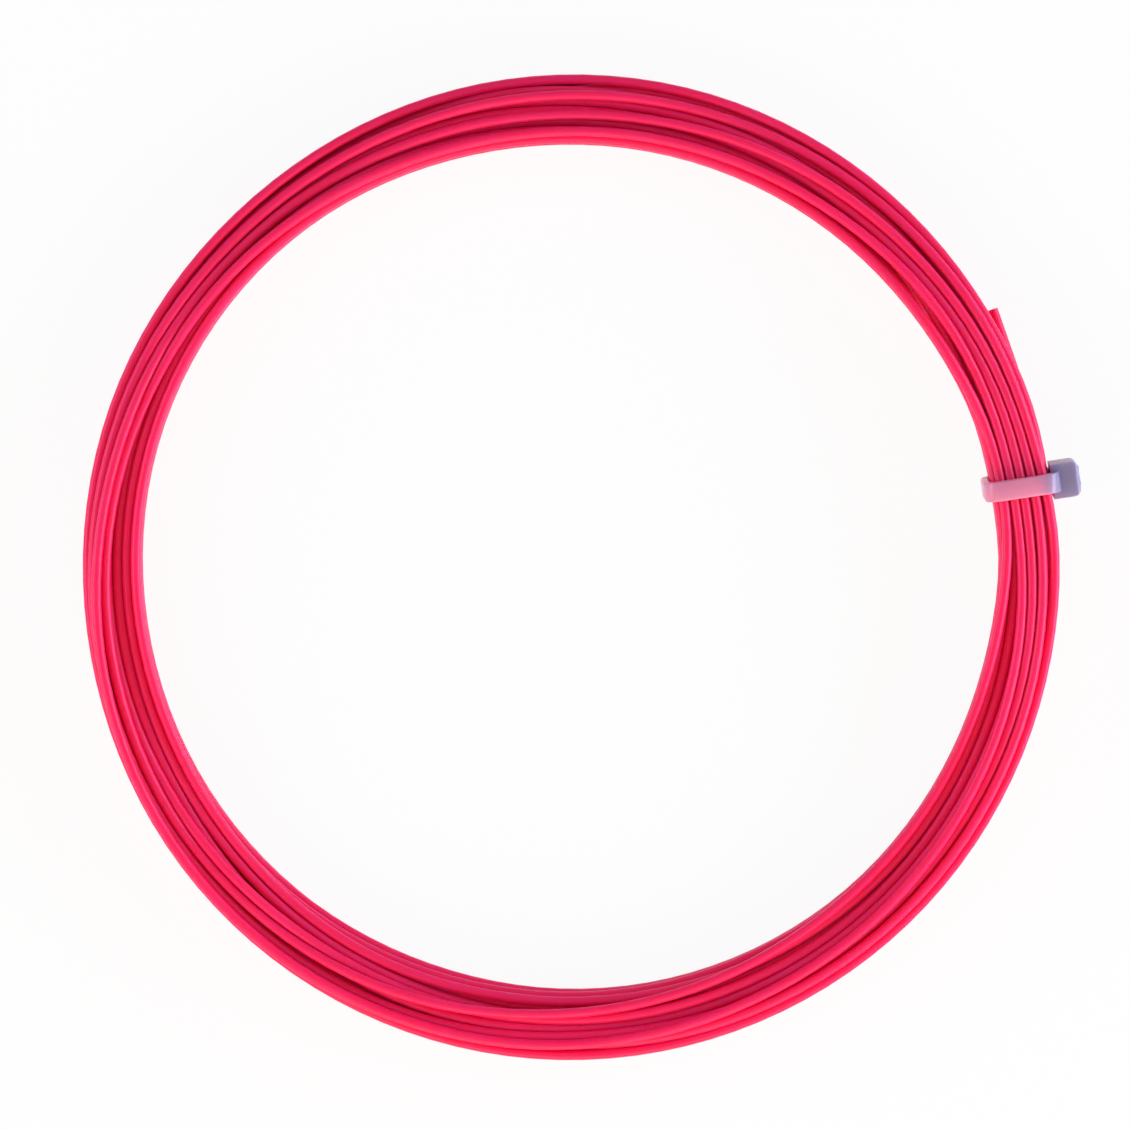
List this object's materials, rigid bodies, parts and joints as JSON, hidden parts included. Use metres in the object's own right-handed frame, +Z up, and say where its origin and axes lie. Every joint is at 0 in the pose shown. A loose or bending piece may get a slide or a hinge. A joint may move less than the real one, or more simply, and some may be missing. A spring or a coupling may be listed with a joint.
{
  "type": "racket string set",
  "caption": "Flat ring of racket string wound in many turns and held by one small nylon cable tie with a toothed strap, a head and a pawl.",
  "frame": {"origin": "centre of the ring's eye, on the plane that the ring lies on", "axes": "+Z up out of the flat-lying ring, +X from the centre of the ring to the cable tie, +Y along the string where it passes through the tie"},
  "size_m": [0.1268, 0.1228, 0.0095],
  "materials": {
    "string": "glossy extruded polyester monofilament, bright pink",
    "tie": "natural milky nylon, smooth moulded"
  },
  "bodies": {
    "coil": {"string_coil": "string"},
    "tie": {"cable_tie": "tie"},
    "pawl": {"cable_tie_pawl": "tie"}
  },
  "joints": [
    {"name": "tie_slide", "type": "slide", "parent": "coil", "child": "tie", "axis": [0, 1, 0], "range_m": [-0.005, 0.005]},
    {"name": "pawl_hinge", "type": "hinge", "parent": "tie", "child": "pawl", "pos_m": [0.062, -0.0002, 0.00499], "axis": [-0.0347, -0.993, -0.1132], "range_deg": [0, 12], "stiffness_Nm_per_rad": 0.01}
  ]
}
